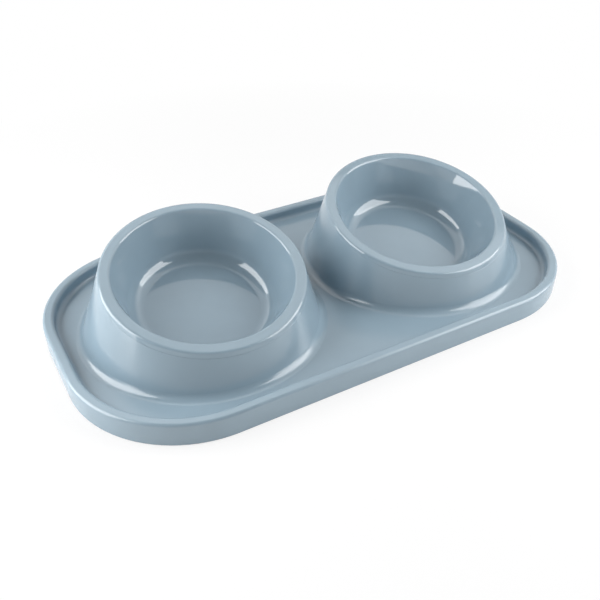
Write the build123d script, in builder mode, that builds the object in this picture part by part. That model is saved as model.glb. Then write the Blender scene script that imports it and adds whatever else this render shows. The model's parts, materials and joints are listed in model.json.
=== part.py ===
"""Double pet bowl: two lift-out bowls, leaning to the front, on stands moulded into one rimmed tray.

Millimetres. X runs along the tray, the bowls lean towards -Y, +Z is up. The origin is on the ground,
below the middle of the tray.
"""
import math
import os

from build123d import *

# Bowls: the lip's top face is square to the leaning axis. The ground gap is to the unrounded heel
lean_angle = 14.1
cup_mouth_radius = 64.2
cup_floor_radius = 51.8
cup_depth = 38.8
cup_floor_round = 12.0
cup_wall_flare = 0.95
cup_wall = 2.4
cup_base = 2.6
cup_ground_gap = 0.4
lip_width = 7.6
lip_thickness = 3.2
lip_outer_round = 2.0
lip_inner_round = 1.8
lip_under_round = 0.15

# Stands, moulded up from the tray floor
stand_flare = 14.8
stand_lead = 5.4
stand_spread = 2.05
stand_gap = 0.2
stand_base_round = 6.5
seat_thickness = 2.6
seat_clearance = 0.4
seat_edge_round = 0.15

# Tray: a catch floor inside a rolled rim
tray_wall = 2.4
floor_height = 8.9
catch_end_gap = 2.3
catch_side_gap = 4.7
gutter_round = 3.4
rim_inner_flat = 2.9
rim_inner_round = 2.6
rim_outer_round = 2.2
rim_channel_width = 3.2
end_straight = 50.4
skirt_lift = 1.0

# Rubber feet, pushed into bosses under the tray's corners
foot_plug_radius = 6.0
foot_clearance = 0.12
foot_pad_thickness = 2.2
foot_pad_round = 0.8
foot_inset = 18.0
boss_wall = 2.4

# How far a cut runs past the face that it opens
overrun = 5.0

sides = {"left": -1, "right": 1}
ends = {"front": -1, "back": 1}

# Bowl sizes that follow: the outside of the cup, and the lip's middle over the ground
lean = math.radians(lean_angle)
lean_direction = Vector(0, -math.sin(lean), math.cos(lean))
section_normal = Vector(0, -math.cos(lean), -math.sin(lean))
cup_slope = math.atan2(cup_mouth_radius - cup_floor_radius, cup_depth)
cup_skin = cup_wall / math.cos(cup_slope)
cup_outer_depth = cup_depth + cup_base
cup_outer_mouth_radius = cup_mouth_radius + cup_skin
cup_neck_radius = cup_outer_mouth_radius - lip_thickness * math.tan(cup_slope)
cup_heel_radius = cup_floor_radius - cup_base * math.tan(cup_slope) + cup_skin
cup_heel_round = cup_floor_round + cup_wall
lip_radius = cup_mouth_radius + lip_width
lip_height = cup_ground_gap + cup_outer_depth * math.cos(lean) + cup_heel_radius * math.sin(lean)

# Stand sizes that follow: the base circles, the places of both bowls and the hollow inside
stand_base_radius = lip_radius + stand_flare
stand_reach = stand_base_radius + stand_base_round
stand_spacing = 2 * stand_reach + stand_gap
bowl_spacing = stand_spacing - 2 * stand_spread
stand_slope = math.atan2(stand_flare, lip_height - floor_height)
stand_skin = tray_wall / math.cos(stand_slope)
hollow_base_radius = stand_base_radius + tray_wall * math.tan(stand_slope) - stand_skin
hollow_top_radius = lip_radius - stand_skin
seat_underside = lip_thickness + seat_thickness

# Tray sizes that follow: the outline round both stands
floor_underside = floor_height - tray_wall
rim_height = floor_height + gutter_round + rim_inner_flat + rim_inner_round
rim_width = rim_channel_width + 2 * tray_wall
tray_length = stand_spacing + 2 * (stand_reach + catch_end_gap + gutter_round + rim_width)
tray_width = 2 * (stand_reach + catch_side_gap + gutter_round + rim_width)
tray_corner_radius = (tray_width - end_straight) / 2

# Foot sizes that follow: the pockets, on the diagonals of the tray's corners
foot_pocket_radius = foot_plug_radius + foot_clearance
boss_radius = foot_pocket_radius + boss_wall
foot_reach = (tray_corner_radius - foot_inset) / math.sqrt(2)
foot_x = tray_length / 2 - tray_corner_radius + foot_reach
foot_y = tray_width / 2 - tray_corner_radius + foot_reach


def lip_plane(side, drop=0.0):
    """Plane square to a bowl's leaning axis, a drop below the top of its lip."""
    lip_middle = Vector(side * bowl_spacing / 2, -stand_lead, lip_height)
    return Plane(lip_middle - lean_direction * drop, x_dir=(1, 0, 0), z_dir=lean_direction)


def section_plane(side):
    """Plane through a bowl's axis: local X is the radius, local Y the height over the lip's top."""
    return Plane(lip_plane(side).origin, x_dir=(1, 0, 0), z_dir=section_normal)


def flared_form(side, base_height, base_radius, top_radius, drop, keep):
    """Form that flares from a bowl's lip down to the tray, cut square to the leaning axis."""
    with BuildPart() as form:
        with BuildSketch(Plane((side * stand_spacing / 2, 0, base_height))):
            Circle(base_radius)
        with BuildSketch(lip_plane(side)):
            Circle(top_radius)
        loft(ruled=True)
        split(bisect_by=lip_plane(side, drop), keep=keep)
    return form.part


def stand_outside(side, keep):
    """The outer form that a stand and its bowl's lip share, parted at the seat."""
    return flared_form(side, floor_height, stand_base_radius, lip_radius, lip_thickness, keep)


def stand_inside(side):
    """The hollow of a stand, open under the tray and closed at the top by the seat."""
    heights_and_radii = (floor_underside, hollow_base_radius, hollow_top_radius, seat_underside)
    return flared_form(side, *heights_and_radii, Keep.BOTTOM)


def tray_outline(inset=0.0, mode=Mode.ADD):
    """The tray's rounded rectangle, drawn in from its outer face by an inset."""
    length = tray_length - 2 * inset
    width = tray_width - 2 * inset
    return RectangleRounded(length, width, tray_corner_radius - inset, mode=mode)


def circle_edges(part, radius):
    """The part's round edges of one radius."""
    round_edges = part.edges().filter_by(GeomType.CIRCLE)
    return round_edges.filter_by(lambda edge: math.isclose(edge.radius, radius))


# Tray: skirt, rolled rim, catch floor and both stands in one moulding
stands = [stand_outside(side, Keep.BOTTOM) for side in sides.values()]
hollows = [stand_inside(side) for side in sides.values()]
foot_places = [(side * foot_x, end * foot_y) for side in sides.values() for end in ends.values()]

with BuildPart() as tray:
    with BuildSketch(Plane.XY.offset(skirt_lift)):
        tray_outline()
    extrude(amount=rim_height - skirt_lift)
    fillet(tray.faces().sort_by(Axis.Z)[-1].edges(), rim_outer_round)
    # Catch floor, sunk inside the rim
    with BuildSketch(Plane.XY.offset(floor_height)):
        tray_outline(rim_width)
    extrude(amount=rim_height - floor_height, mode=Mode.SUBTRACT)
    rim_top, catch_floor = tray.faces().filter_by(Plane.XY).sort_by(Axis.Z, reverse=True)[:2]
    rim_inner_edges = rim_top.inner_wires()[0].edges()
    fillet(catch_floor.edges(), gutter_round)
    fillet(rim_inner_edges, rim_inner_round)
    # Stands, with a fillet round the foot of each and a softened seat edge
    for stand in stands:
        add(stand)
    fillet(circle_edges(tray, stand_base_radius), stand_base_round)
    seats = tray.faces().filter_by(lip_plane(0))
    fillet([edge for seat in seats for edge in seat.outer_wire().edges()], seat_edge_round)
    # Underside: the space below the floor, the channel in the rim and the insides of the stands
    with BuildSketch(Plane.XY.offset(skirt_lift)):
        tray_outline(tray_wall)
    extrude(amount=floor_underside - skirt_lift, mode=Mode.SUBTRACT)
    with BuildSketch(Plane.XY.offset(floor_underside)):
        tray_outline(tray_wall)
        tray_outline(rim_width - tray_wall, mode=Mode.SUBTRACT)
    extrude(amount=rim_height - tray_wall - floor_underside, mode=Mode.SUBTRACT)
    for hollow in hollows:
        add(hollow, mode=Mode.SUBTRACT)
    fillet(circle_edges(tray, hollow_base_radius), stand_base_round + tray_wall)
    # Mouths that the bowls drop into
    for side in sides.values():
        with BuildSketch(lip_plane(side, seat_underside + overrun)):
            Circle(cup_neck_radius + seat_clearance)
        extrude(amount=seat_thickness + 2 * overrun, mode=Mode.SUBTRACT)
    # Bosses for the feet
    with BuildSketch(Plane.XY.offset(foot_pad_thickness)):
        with Locations(*foot_places):
            Circle(boss_radius)
            Circle(foot_pocket_radius, mode=Mode.SUBTRACT)
    extrude(amount=floor_underside - foot_pad_thickness)


def cup_section(side, mouth_radius, floor_radius, depth, corner_round):
    """Half section of a cup at its axis: a wall that flares to the lip and a rounded floor corner."""
    mouth = (mouth_radius, 0)
    heel = (floor_radius, -depth)
    with BuildSketch(section_plane(side)) as section:
        with BuildLine():
            SagittaArc(mouth, heel, -cup_wall_flare)
            Polyline(heel, (0, -depth), (0, 0), mouth)
        make_face()
        floor_corner = section.vertices().group_by(Axis.Y)[0].sort_by(Axis.X)[-1]
        fillet(floor_corner, corner_round)
    return section.sketch


def make_bowl(side):
    """A bowl: flat lip flush with its stand, flaring wall, rounded floor corner."""
    lip = stand_outside(side, Keep.TOP)
    outside = cup_section(side, cup_outer_mouth_radius, cup_heel_radius, cup_outer_depth, cup_heel_round)
    inside = cup_section(side, cup_mouth_radius, cup_floor_radius, cup_depth, cup_floor_round)
    axis = Axis(lip_plane(side).origin, lean_direction)
    with BuildPart() as bowl:
        add(lip)
        revolve(outside, axis=axis)
        revolve(inside, axis=axis, mode=Mode.SUBTRACT)
        # Round the lip's edges, at the top and where it meets the stand
        lip_top, lip_underside = bowl.faces().filter_by(lip_plane(side)).sort_by(axis, reverse=True)[:2]
        lip_mouth_edges = lip_top.inner_wires()[0].edges()
        lip_under_edges = lip_underside.outer_wire().edges()
        fillet(lip_top.outer_wire().edges(), lip_outer_round)
        fillet(lip_mouth_edges, lip_inner_round)
        fillet(lip_under_edges, lip_under_round)
    return bowl.part


def make_foot(place):
    """A rubber foot: a pad that the tray stands on and a plug that fills the boss's pocket."""
    with BuildPart(Plane(place)) as foot:
        Cylinder(boss_radius, foot_pad_thickness, align=(Align.CENTER, Align.CENTER, Align.MIN))
        fillet(foot.edges().sort_by(Axis.Z)[0], foot_pad_round)
        with BuildSketch(Plane(place).offset(foot_pad_thickness)):
            Circle(foot_plug_radius)
        extrude(amount=floor_underside - foot_pad_thickness)
    return foot.part


pieces = {"tray": tray.part}
for side_name, side in sides.items():
    pieces[f"{side_name}_bowl"] = make_bowl(side)
    for end_name, end in ends.items():
        pieces[f"{end_name}_{side_name}_foot"] = make_foot((side * foot_x, end * foot_y, 0))

os.makedirs("parts", exist_ok=True)
for name, piece in pieces.items():
    piece.label = name
    export_step(piece, f"parts/{name}.step")
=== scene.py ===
"""Looks of the double pet bowl: moulded plastic, rubber feet, a white studio and the camera.

Metres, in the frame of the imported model: the origin is on the ground below the middle of the tray, the
bowls lean towards -Y and +Z is up. Directions are compass angles in degrees, seen from above: 0 is +Y,
the back, and 90 is +X.
"""
import json
import math

import bpy
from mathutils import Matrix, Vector

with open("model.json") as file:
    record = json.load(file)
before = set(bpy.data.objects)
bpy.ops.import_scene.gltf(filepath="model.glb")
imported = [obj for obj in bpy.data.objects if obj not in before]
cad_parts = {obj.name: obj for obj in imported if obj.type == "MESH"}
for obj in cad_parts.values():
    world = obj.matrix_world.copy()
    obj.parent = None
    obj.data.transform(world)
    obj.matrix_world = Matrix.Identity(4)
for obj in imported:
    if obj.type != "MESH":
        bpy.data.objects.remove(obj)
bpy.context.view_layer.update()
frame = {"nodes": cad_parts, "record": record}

# Colours, linear
PLASTIC_COLOUR = (0.282, 0.378, 0.448)
RUBBER_COLOUR = (0.030, 0.032, 0.035)
FLOOR_COLOUR = (0.95, 0.95, 0.95)
WHITE = (1, 1, 1)

# Noise: its fineness, and the range about its middle that it mostly keeps to
NOISE_DETAIL = 3.0
NOISE_RANGE = (0.3, 0.7)

# Plastic: a faint cloud in the colour, an uneven polish and the mould's grain, in grains to the metre
CLOUD_SCALE = 30
CLOUD_AMOUNT = 0.02
POLISH_SCALE = 90
POLISH_AMOUNT = 0.1
TRAY_FINISH = {"roughness": 0.20, "shine": 0.9, "grain": 1500, "grain_depth": 0.000002}
BOWL_FINISH = {"roughness": 0.06, "shine": 0.9, "grain": 400, "grain_depth": 0.000001}

# Rubber: a mottled colour, a matt skin and its grain, in grains to the metre
MOTTLE_SCALE = 400
MOTTLE_AMOUNT = 0.2
SKIN_SCALE = 900
SKIN_ROUGHNESS = (0.65, 0.85)
SKIN_GRAIN = 2500
SKIN_GRAIN_DEPTH = 0.00005

# Camera: the photograph's own view, from a fit of the part's edges. Lens and sensor are in millimetres
CAMERA_PLACE = (-0.24135, -0.40400, 0.33226)
CAMERA_AZIMUTH = -29.62
CAMERA_ELEVATION = 35.83
CAMERA_LENS = 43.61
SENSOR_WIDTH = 36.0
CAMERA_NEAREST = 0.01

# Floor: matt and faintly clouded. Near the part it is partly white of itself, and far out wholly
FLOOR_SIZE = 12.0
FLOOR_CLOUD_SCALE = 4
FLOOR_CLOUD_AMOUNT = 0.01
FLOOR_ROUGHNESS = 0.9
FLOOR_NEAR_SHARE = 0.80
FLOOR_NEAR_REACH = 0.26
FLOOR_FAR_START = 0.50
FLOOR_REFLECTED_SHARE = 0.50

# World, as reflections see it: a white horizon, a white backdrop, a dim ceiling and a dim front.
# Heights are sines of the angle over the ground. The front ends and the backdrop starts at a share of
# the way round, from -1 in front of the part to 1 behind it
HORIZON_TOP = math.sin(math.radians(4))
FRONT_START = math.sin(math.radians(14))
BACKDROP_TOP = math.sin(math.radians(35))
CEILING_START = math.sin(math.radians(60))
BACKDROP_AZIMUTH = 30
FRONT_END_SHARE = -0.2
BACKDROP_START_SHARE = 0.3
FRONT_LEVEL = 0.05
CEILING_LEVEL = 0.10

# World, as a light: weak and from all round
AMBIENT_LEVEL = 0.04

# Softboxes: where each hangs, the angles that it fills as seen from the part, in degrees, and its radiance
SOFTBOXES = {
    "right_softbox": {
        "azimuth": 125, "elevation": 30, "distance": 0.9,
        "width_angle": 44, "height_angle": 46, "radiance": 4.5,
    },
    "left_softbox": {
        "azimuth": 286, "elevation": 26, "distance": 0.8,
        "width_angle": 46, "height_angle": 52, "radiance": 4.9,
    },
    "back_fill": {
        "azimuth": 40, "elevation": 64, "distance": 1.6,
        "width_angle": 90, "height_angle": 32, "radiance": 1.0,
    },
}


def new_material(name):
    """An empty material, its node tree and its shader, joined to the output."""
    material = bpy.data.materials.new(name)
    material.use_nodes = True
    tree = material.node_tree
    tree.nodes.clear()
    output = tree.nodes.new("ShaderNodeOutputMaterial")
    shader = tree.nodes.new("ShaderNodeBsdfPrincipled")
    tree.links.new(shader.outputs["BSDF"], output.inputs["Surface"])
    return material, tree, shader


def noise(tree, scale):
    """Noise that sticks to the piece, as many grains to the metre as its scale."""
    place = tree.nodes.new("ShaderNodeTexCoord")
    texture = tree.nodes.new("ShaderNodeTexNoise")
    texture.inputs["Scale"].default_value = scale
    texture.inputs["Detail"].default_value = NOISE_DETAIL
    tree.links.new(place.outputs["Object"], texture.inputs["Vector"])
    return texture.outputs["Fac"]


def ranged(tree, value, source, target, shape="LINEAR"):
    """The value, taken from one range to another."""
    node = tree.nodes.new("ShaderNodeMapRange")
    node.interpolation_type = shape
    node.inputs["From Min"].default_value, node.inputs["From Max"].default_value = source
    node.inputs["To Min"].default_value, node.inputs["To Max"].default_value = target
    tree.links.new(value, node.inputs["Value"])
    return node.outputs["Result"]


def spread(tree, value, low, high):
    """The noise value, which lies about its middle, spread over a range."""
    return ranged(tree, value, NOISE_RANGE, (low, high))


def tinted(tree, colour, amount, value):
    """The colour, a little darker and lighter with the noise value."""
    mix = tree.nodes.new("ShaderNodeMix")
    mix.data_type = "RGBA"
    mix.inputs["A"].default_value = [channel * (1 - amount) for channel in colour] + [1]
    mix.inputs["B"].default_value = [channel * (1 + amount) for channel in colour] + [1]
    tree.links.new(spread(tree, value, 0, 1), mix.inputs["Factor"])
    return mix.outputs["Result"]


def bumped(tree, shader, value, depth):
    """Relief of a real depth under the shader."""
    bump = tree.nodes.new("ShaderNodeBump")
    bump.inputs["Distance"].default_value = depth
    tree.links.new(value, bump.inputs["Height"])
    tree.links.new(bump.outputs["Normal"], shader.inputs["Normal"])


def moulded_plastic(name, roughness, shine, grain, grain_depth):
    """Moulded plastic: a faint cloud in the colour, an uneven polish and the mould's fine grain."""
    material, tree, shader = new_material(name)
    colour = tinted(tree, PLASTIC_COLOUR, CLOUD_AMOUNT, noise(tree, CLOUD_SCALE))
    tree.links.new(colour, shader.inputs["Base Color"])
    finest = roughness * (1 - POLISH_AMOUNT)
    coarsest = roughness * (1 + POLISH_AMOUNT)
    polish = spread(tree, noise(tree, POLISH_SCALE), finest, coarsest)
    tree.links.new(polish, shader.inputs["Roughness"])
    bumped(tree, shader, noise(tree, grain), grain_depth)
    shader.inputs["Specular IOR Level"].default_value = shine
    return material


def moulded_rubber(name):
    """Dark rubber with a matt, grainy skin."""
    material, tree, shader = new_material(name)
    colour = tinted(tree, RUBBER_COLOUR, MOTTLE_AMOUNT, noise(tree, MOTTLE_SCALE))
    tree.links.new(colour, shader.inputs["Base Color"])
    skin = spread(tree, noise(tree, SKIN_SCALE), *SKIN_ROUGHNESS)
    tree.links.new(skin, shader.inputs["Roughness"])
    bumped(tree, shader, noise(tree, SKIN_GRAIN), SKIN_GRAIN_DEPTH)
    return material


def dress_part():
    """Every piece in the material of its slot."""
    materials = {
        "tray_plastic": moulded_plastic("tray_plastic", **TRAY_FINISH),
        "bowl_plastic": moulded_plastic("bowl_plastic", **BOWL_FINISH),
        "foot_rubber": moulded_rubber("foot_rubber"),
    }
    for subpart in frame["record"]["subparts"]:
        mesh = frame["nodes"][subpart["node"]].data
        mesh.materials.clear()
        mesh.materials.append(materials[subpart["material_slot"]])


def calculated(tree, operation, first, second):
    """Two node values, joined by the operation that is named."""
    node = tree.nodes.new("ShaderNodeMath")
    node.operation = operation
    tree.links.new(first, node.inputs[0])
    tree.links.new(second, node.inputs[1])
    return node.outputs["Value"]


def seen_in_part(tree):
    """1 for rays that show the background in a reflection or through glass."""
    path = tree.nodes.new("ShaderNodeLightPath")
    return calculated(tree, "MAXIMUM", path.outputs["Is Glossy Ray"], path.outputs["Is Transmission Ray"])


def seen_by_camera(tree):
    """1 for rays that come straight from the camera."""
    return tree.nodes.new("ShaderNodeLightPath").outputs["Is Camera Ray"]


def way_out(tree):
    """How far a point of the floor lies from the middle of the part, in metres."""
    place = tree.nodes.new("ShaderNodeTexCoord")
    length = tree.nodes.new("ShaderNodeVectorMath")
    length.operation = "LENGTH"
    tree.links.new(place.outputs["Object"], length.inputs[0])
    return length.outputs["Value"]


def white_floor():
    """A pale floor that shows nearly white and keeps a faint shadow near the part."""
    material, tree, shader = new_material("white_floor")
    colour = tinted(tree, FLOOR_COLOUR, FLOOR_CLOUD_AMOUNT, noise(tree, FLOOR_CLOUD_SCALE))
    tree.links.new(colour, shader.inputs["Base Color"])
    shader.inputs["Roughness"].default_value = FLOOR_ROUGHNESS
    shader.inputs["Specular IOR Level"].default_value = 0.0
    glow = tree.nodes.new("ShaderNodeEmission")
    share = ranged(tree, way_out(tree), (FLOOR_NEAR_REACH, FLOOR_FAR_START), (FLOOR_NEAR_SHARE, 1))
    shown = calculated(tree, "MULTIPLY", seen_by_camera(tree), share)
    reflected = ranged(tree, seen_in_part(tree), (0, 1), (0, FLOOR_REFLECTED_SHARE))
    mix = tree.nodes.new("ShaderNodeMixShader")
    tree.links.new(calculated(tree, "MAXIMUM", shown, reflected), mix.inputs["Fac"])
    tree.links.new(shader.outputs["BSDF"], mix.inputs[1])
    tree.links.new(glow.outputs["Emission"], mix.inputs[2])
    tree.links.new(mix.outputs["Shader"], tree.nodes["Material Output"].inputs["Surface"])
    return material


def make_floor():
    """The floor that the part stands on."""
    half = FLOOR_SIZE / 2
    corners = [(-half, -half, 0), (half, -half, 0), (half, half, 0), (-half, half, 0)]
    mesh = bpy.data.meshes.new("floor")
    mesh.from_pydata(corners, [], [(0, 1, 2, 3)])
    mesh.materials.append(white_floor())
    floor = bpy.data.objects.new("floor", mesh)
    bpy.context.scene.collection.objects.link(floor)


def direction(azimuth, elevation):
    """Unit vector towards a compass angle and a height over the ground."""
    turn = math.radians(azimuth)
    rise = math.radians(elevation)
    level = math.cos(rise)
    return Vector((math.sin(turn) * level, math.cos(turn) * level, math.sin(rise)))


def backdrop(tree):
    """What a reflection sees: white at the horizon and behind the part, dim overhead and in front."""
    place = tree.nodes.new("ShaderNodeTexCoord").outputs["Generated"]
    split = tree.nodes.new("ShaderNodeSeparateXYZ")
    tree.links.new(place, split.inputs["Vector"])
    behind = tree.nodes.new("ShaderNodeVectorMath")
    behind.operation = "DOT_PRODUCT"
    behind.inputs[1].default_value = direction(BACKDROP_AZIMUTH, 0)
    tree.links.new(place, behind.inputs[0])
    height = split.outputs["Z"]
    share = behind.outputs["Value"]
    rise = ranged(tree, height, (BACKDROP_TOP, CEILING_START), (1, CEILING_LEVEL), "SMOOTHSTEP")
    turn = ranged(tree, share, (FRONT_END_SHARE, BACKDROP_START_SHARE), (FRONT_LEVEL, 1), "SMOOTHSTEP")
    horizon = ranged(tree, height, (HORIZON_TOP, FRONT_START), (1, FRONT_LEVEL), "SMOOTHSTEP")
    return calculated(tree, "MAXIMUM", horizon, calculated(tree, "MULTIPLY", rise, turn))


def make_world():
    """White to the camera, a backdrop in reflections, and a weak light from all round."""
    world = bpy.data.worlds.new("studio")
    world.use_nodes = True
    tree = world.node_tree
    reflected = tree.nodes.new("ShaderNodeMix")
    reflected.inputs["A"].default_value = AMBIENT_LEVEL
    tree.links.new(seen_in_part(tree), reflected.inputs["Factor"])
    tree.links.new(backdrop(tree), reflected.inputs["B"])
    strength = calculated(tree, "MAXIMUM", seen_by_camera(tree), reflected.outputs["Result"])
    background = tree.nodes["Background"]
    background.inputs["Color"].default_value = (*WHITE, 1)
    tree.links.new(strength, background.inputs["Strength"])
    bpy.context.scene.world = world


def make_softbox(name, azimuth, elevation, distance, width_angle, height_angle, radiance):
    """A rectangular lamp that faces the part and fills the angles that it is given."""
    lamp = bpy.data.lights.new(name, "AREA")
    lamp.shape = "RECTANGLE"
    lamp.size = 2 * distance * math.tan(math.radians(width_angle / 2))
    lamp.size_y = 2 * distance * math.tan(math.radians(height_angle / 2))
    lamp.energy = math.pi * lamp.size * lamp.size_y * radiance
    softbox = bpy.data.objects.new(name, lamp)
    towards = direction(azimuth, elevation)
    softbox.location = towards * distance
    softbox.rotation_euler = towards.to_track_quat("Z", "Y").to_euler()
    bpy.context.scene.collection.objects.link(softbox)


def make_camera():
    """The photograph's camera."""
    lens = bpy.data.cameras.new("camera")
    lens.sensor_fit = "HORIZONTAL"
    lens.sensor_width = SENSOR_WIDTH
    lens.lens = CAMERA_LENS
    lens.clip_start = CAMERA_NEAREST
    camera = bpy.data.objects.new("camera", lens)
    camera.location = CAMERA_PLACE
    camera.rotation_euler = (math.radians(90 - CAMERA_ELEVATION), 0, math.radians(CAMERA_AZIMUTH))
    bpy.context.scene.collection.objects.link(camera)
    bpy.context.scene.camera = camera


dress_part()
make_floor()
make_world()
for softbox_name, softbox in SOFTBOXES.items():
    make_softbox(softbox_name, **softbox)
make_camera()
bpy.context.scene.view_settings.view_transform = "Standard"
